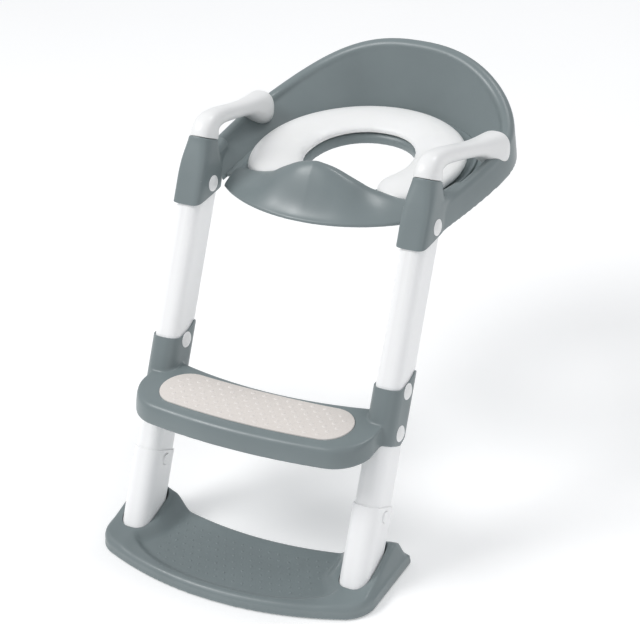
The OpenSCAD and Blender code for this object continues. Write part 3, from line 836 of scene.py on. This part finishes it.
BASE_LOW, BASE_HIGH = node_box("foot_base")
BASE_HALF = (BASE_HIGH.x - BASE_LOW.x) / 2
BASE_FRONT = BASE_LOW.y
BASE_BACK = BASE_FRONT + 127
BASE_CURVES = (460, 490)
BASE_CORNER = 40
BASE_LIFT = 1.2
FOOT_Z = 4.6
TREAD_Z = 15.0
TREAD_DEPTH = 4.2
TREAD_HALF = 112
TREAD_FIRST_ROW, TREAD_ROW_PITCH = 34, 11.5
# Height of the saddle's spine along Y
SADDLE_ROWS = [
    (-60, 15), (-30, 16.5), (-8, 20), (14, 25), (40, 32),
    (62, 40), (74, 44.5), (82, 45), (90, 40), (97, 22),
]


def base_front(x):
    return front_edge(x, BASE_FRONT, BASE_CURVES[0], BASE_HALF, BASE_CORNER)


def base_back(x):
    return back_edge(x, BASE_BACK, BASE_CURVES[1])


def saddle_rise(x, y):
    ax = abs(x)
    forward = smoothstep(30, -10, y)
    inner = smoothstep(TREAD_HALF + 18 * forward, TREAD_HALF + 22 + 20 * forward, ax)
    across = 0.64 * inner + 0.36 * smoothstep(136, 188, ax)
    edge = 1 - 0.9 * smoothstep(187, BASE_HALF, ax)
    return across * edge * (table_value(SADDLE_ROWS, y, 1) - TREAD_Z)


def spread_across(half, count):
    """Places from -half to half, closer together towards the ends."""
    return [half * math.sin(math.pi / 2 * (2 * i / count - 1)) for i in range(count + 1)]


def base_section(x):
    """Outline of the base from front to back at one place across."""
    front = base_front(x)
    back = base_back(x) - 0.3
    lift = BASE_LIFT
    depth = back - front
    edge = min(11.0, depth * 0.2)
    ridge = edge + 18 * (abs(x) / 147) ** 4
    swell = 1.6 * (1 - smoothstep(150, 175, abs(x)))
    points = [(front + 3, lift), (front, lift), (front, lift + 2.5), (front + 1.6, lift + 3.4)]
    top = []
    steps = 36
    for i in range(steps + 1):
        s = i / steps
        y = front + 2.2 + (depth - 3.5) * s
        from_front = y - front
        lip = math.sqrt(max(1 - (1 - min(from_front / edge, 1)) ** 2, 0))
        tail = math.sqrt(max(1 - (1 - min((back - y) / 5.0, 1)) ** 2, 0))
        forward = smoothstep(30, -10, y)
        inside = 1 - smoothstep(TREAD_HALF + 22 * forward, TREAD_HALF + 22 + 22 * forward, abs(x))
        dish = (TREAD_DEPTH + swell) * smoothstep(ridge, ridge + 12, from_front)
        dish *= 1 - 0.45 * smoothstep(22, 5, back - y)
        rise = TREAD_Z + swell - FOOT_Z + saddle_rise(x, y)
        z = FOOT_Z + rise * min(lip, 0.35 + 0.65 * tail) - dish * inside
        top.append((y, z))
    points += top
    points += [(back, lift + 3), (back, lift), (back - 3, lift)]
    return [(x, y, z) for y, z in points]


def tread_dots(rows, pitch, place, radius, height, ground):
    """Low round grip dots in staggered rows; place(x, row) gives their Y, or None for no dot."""
    points, faces = [], []
    rings = [(1.0, -0.35), (0.92, 0.35), (0.7, 0.8), (0.35, 1.0)]
    sides = 10
    for row in range(rows):
        for column in range(-40, 41):
            x = (column + 0.5 * (row % 2)) * pitch
            y = place(x, row)
            if y is None:
                continue
            start = len(points)
            for scale, lift in rings:
                for k in range(sides):
                    a = 2 * math.pi * k / sides
                    points.append((x + radius * scale * math.cos(a), y + radius * scale * math.sin(a),
                                   ground + height * lift))
            for ring in range(len(rings) - 1):
                for k in range(sides):
                    a, b = start + ring * sides, start + (ring + 1) * sides
                    m = (k + 1) % sides
                    faces.append((a + k, a + m, b + m, b + k))
            faces.append(tuple(start + (len(rings) - 1) * sides + k for k in range(sides)))
            faces.append(tuple(start + k for k in reversed(range(sides))))
    return mesh_object("dots", points, faces)


def build_foot_base():
    base = loft("foot_base_moulding", [base_section(x) for x in spread_across(BASE_HALF * 0.9995, 120)])
    merge_solid(base, MOULDING_VOXEL, 4)
    for side in SIDES:
        outline = rounded_rect(TUBE_W + 2 * SLEEVE_GROW + 2.4, TUBE_D + 2 * SLEEVE_GROW + 5.4,
                               TUBE_R + SLEEVE_GROW + 1)
        rings = [[leg_point(side, at, 1.6 + b, x) for x, b in outline] for at in (-30, 90)]
        cutter = loft("leg_hole", rings)
        cut(cutter, box_object("floor", (side * LEG_X - 80, -150, -90), (side * LEG_X + 80, 200, 5.5)))
        cut(base, cutter)

    def place(x, row):
        if abs(x) > TREAD_HALF:
            return None
        y = base_front(x) + TREAD_FIRST_ROW + row * TREAD_ROW_PITCH
        return y if y < base_back(x) - 14 else None

    dots = tread_dots(8, 13.0, place, 1.8, 0.5, TREAD_Z - TREAD_DEPTH + 0.1)
    base = join([base, dots], "foot_base_moulding")
    shade(base)
    return finish_piece(base, "base", "grey_plastic", "foot_base")


# ---------------------------------------------------------------- step

STEP_HALF = 168.0
STEP_FRONT, STEP_BACK = 21.0, 123.0
STEP_CURVES = (900, 590)
STEP_CORNER = 50
MAT_PROUD = 1.5
STEP_TOP = node_box("step_mat")[1].z - MAT_PROUD
STEP_THICK = 26.0
# The step's sockets, as lengths along the leg
STEP_SOCKET_LOW, STEP_SOCKET_HIGH = 190, 285
# Curved ends of the step's sockets: place behind the leg's centre line and along the leg
MOUTHS = [(-TUBE_D / 2 - 6, 311), (TUBE_D / 2 + 20, 158)]
MOUTH_R = 52
# The front face leans back to a rounded upper edge: inset, drop below the top
STEP_NOSE = [
    (0.8, 25.6), (0.0, 24.0), (0.9, 20.0), (2.6, 14.0), (4.6, 8.6), (6.0, 5.4), (7.6, 3.0),
    (9.8, 1.3), (12.6, 0.4), (16.0, 0.0),
]


def step_section(x):
    front = front_edge(x, STEP_FRONT, STEP_CURVES[0], STEP_HALF, STEP_CORNER)
    back = back_edge(x, STEP_BACK, STEP_CURVES[1])
    bottom = STEP_TOP - STEP_THICK
    points = [(back - 4, bottom + 1), (front + 12, bottom + 1), (front + 3, bottom)]
    points += [(front + inset, STEP_TOP - drop) for inset, drop in STEP_NOSE]
    points += [
        (back - 7, STEP_TOP), (back - 2, STEP_TOP - 1.5), (back, STEP_TOP - 5), (back, bottom + 4),
    ]
    return [(x, y, z) for y, z in points]


def build_step():
    parts = [loft("platform", [step_section(x) for x in spread_across(STEP_HALF * 0.999, 90)])]
    for side in SIDES:
        parts.append(tube_prism("socket", side, STEP_SOCKET_LOW, STEP_SOCKET_HIGH, SLEEVE_GROW + 0.3))
    step = join(parts, "step_moulding")
    merge_solid(step, MOULDING_VOXEL, 5)
    for side in SIDES:
        for back, at in MOUTHS:
            cut(step, mouth_cutter(side, back, at))
        cut(step, tube_prism("bore", side, 150, 330, 0.5))
    cut(step, mat_recess())
    shade(step)
    return finish_piece(step, "ladder", "grey_plastic", "step_platform")


def mouth_cutter(side, back, at):
    """A cylinder across the leg that gives the socket's mouth its curved edge."""
    rings = []
    for x in (-30, 30):
        rings.append([
            leg_point(side, at + MOUTH_R * math.sin(2 * math.pi * i / 64),
                      back + MOUTH_R * math.cos(2 * math.pi * i / 64), x)
            for i in range(64)
        ])
    return loft("mouth", rings)


MAT_HALF, MAT_FRONT, MAT_BACK = 136.0, 45.2, 115.2
MAT_CURVES = (950, 1400)
MAT_END = 34.0
MAT_FIRST_ROW, MAT_ROW_PITCH = 8.5, 9.0


def mat_front(x):
    return front_edge(x, MAT_FRONT, MAT_CURVES[0], 400, 10)


def mat_back(x):
    return back_edge(x, MAT_BACK, MAT_CURVES[1])


def mat_ring(inset, z):
    """Outline of the mat: gently curved long sides and round ends."""
    ring = []
    centre_x = MAT_HALF - MAT_END
    end_y = (mat_front(centre_x) + mat_back(centre_x)) / 2
    round_r = (mat_back(centre_x) - mat_front(centre_x)) / 2 - inset
    steps = 24
    for i in range(steps + 1):
        x = centre_x * (2 * i / steps - 1)
        ring.append((x, mat_front(x) + inset, z))
    for i in range(1, 16):
        a = math.pi * (i / 16 - 0.5)
        ring.append((centre_x + round_r * math.cos(a), end_y + round_r * math.sin(a), z))
    for i in range(steps + 1):
        x = centre_x * (1 - 2 * i / steps)
        ring.append((x, mat_back(x) - inset, z))
    for i in range(1, 16):
        a = math.pi * (i / 16 + 0.5)
        ring.append((-centre_x + round_r * math.cos(a), end_y + round_r * math.sin(a), z))
    return ring


def mat_recess():
    return loft("recess", [mat_ring(-0.6, STEP_TOP - 1.2), mat_ring(-0.6, STEP_TOP + 30)])


def build_mat():
    top = STEP_TOP + MAT_PROUD
    layers = [
        (0.4, STEP_TOP - 1.1), (0.0, STEP_TOP - 0.8), (0.0, top - 0.9), (0.35, top - 0.25), (1.1, top),
    ]
    mat = loft("step_mat_rubber", [mat_ring(inset, z) for inset, z in layers])

    def place(x, row):
        y = mat_front(x) + MAT_FIRST_ROW + row * MAT_ROW_PITCH
        if abs(x) > MAT_HALF - 9 or y > mat_back(x) - 6:
            return None
        corner = abs(x) - (MAT_HALF - MAT_END)
        middle = (mat_front(x) + mat_back(x)) / 2
        if corner > 0 and corner ** 2 + (y - middle) ** 2 > (MAT_END - 7) ** 2:
            return None
        return y

    dots = tread_dots(8, 17.0, place, 3.0, 0.7, top)
    mat = join([mat, dots], "step_mat_rubber")
    shade(mat, 50)
    return finish_piece(mat, "ladder", "mat_rubber", "step_mat")


# ---------------------------------------------------------------- stage

CAMERA_TARGET = Vector((0.024, 0.225, 0.2635))
CAMERA_DISTANCE = 2.8
CAMERA_AZIMUTH, CAMERA_ELEVATION, CAMERA_ROLL = (math.radians(d) for d in (31.2, 31.33, -4.98))
CAMERA_LENS = 123.75
CAMERA_SHIFT = -0.00375


def add_camera():
    az, el, roll = CAMERA_AZIMUTH, CAMERA_ELEVATION, CAMERA_ROLL
    look = Vector((-math.sin(az) * math.cos(el), math.cos(az) * math.cos(el), -math.sin(el)))
    right = look.cross(Vector((0, 0, 1))).normalized()
    up = right.cross(look)
    level_right, level_up = right.copy(), up.copy()
    right = level_right * math.cos(roll) + level_up * math.sin(roll)
    up = -level_right * math.sin(roll) + level_up * math.cos(roll)
    data = bpy.data.cameras.new("camera")
    data.lens = CAMERA_LENS
    data.sensor_width = 36
    data.shift_x = CAMERA_SHIFT
    camera = bpy.data.objects.new("camera", data)
    bpy.context.scene.collection.objects.link(camera)
    rotation = Matrix((right, up, -look)).transposed().to_4x4()
    camera.matrix_world = Matrix.Translation(CAMERA_TARGET - look * CAMERA_DISTANCE) @ rotation
    bpy.context.scene.camera = camera


def area_light(name, place, target, size, power):
    data = bpy.data.lights.new(name, "AREA")
    data.size = size
    data.energy = power
    light = bpy.data.objects.new(name, data)
    light.location = place
    light.rotation_euler = (Vector(target) - Vector(place)).to_track_quat("-Z", "Y").to_euler()
    bpy.context.scene.collection.objects.link(light)


def add_stage():
    size = 12.0
    mesh = bpy.data.meshes.new("floor")
    corners = [(-size, -size, 0), (size, -size, 0), (size, size, 0), (-size, size, 0)]
    mesh.from_pydata(corners, [], [(0, 1, 2, 3)])
    floor = bpy.data.objects.new("floor", mesh)
    bpy.context.scene.collection.objects.link(floor)
    n = Nodes("floor_paint")
    n.link(n.mix_colour(n.noise(3, 2), (0.84, 0.84, 0.84), (0.87, 0.87, 0.87)),
           n.shader.inputs["Base Color"])
    n.shader.inputs["Roughness"].default_value = 0.7
    n.shader.inputs["Emission Color"].default_value = (1, 1, 1, 1)
    n.shader.inputs["Emission Strength"].default_value = 0.26
    mesh.materials.append(n.material)
    world = bpy.data.worlds.new("studio")
    bpy.context.scene.world = world
    world.use_nodes = True
    world.node_tree.nodes["Background"].inputs["Color"].default_value = (0.95, 0.97, 1.0, 1)
    world.node_tree.nodes["Background"].inputs["Strength"].default_value = 0.5
    aim = (0, 0.25, 0.25)
    area_light("key", (-1.6, -0.9, 2.6), aim, 1.2, 44)
    area_light("fill", (2.2, -1.8, 1.6), aim, 2.0, 7)
    area_light("top", (0.6, 1.6, 2.8), aim, 0.8, 17)
    bpy.context.scene.view_settings.view_transform = "Standard"


# ---------------------------------------------------------------- build

build_backrest()
build_seat_base()
build_cushion()
build_handle(-1, "left_grip", "left_handle")
build_handle(1, "right_grip", "right_handle")
build_step()
build_mat()
build_foot_base()
dress_cad_nodes()
add_stage()
add_camera()
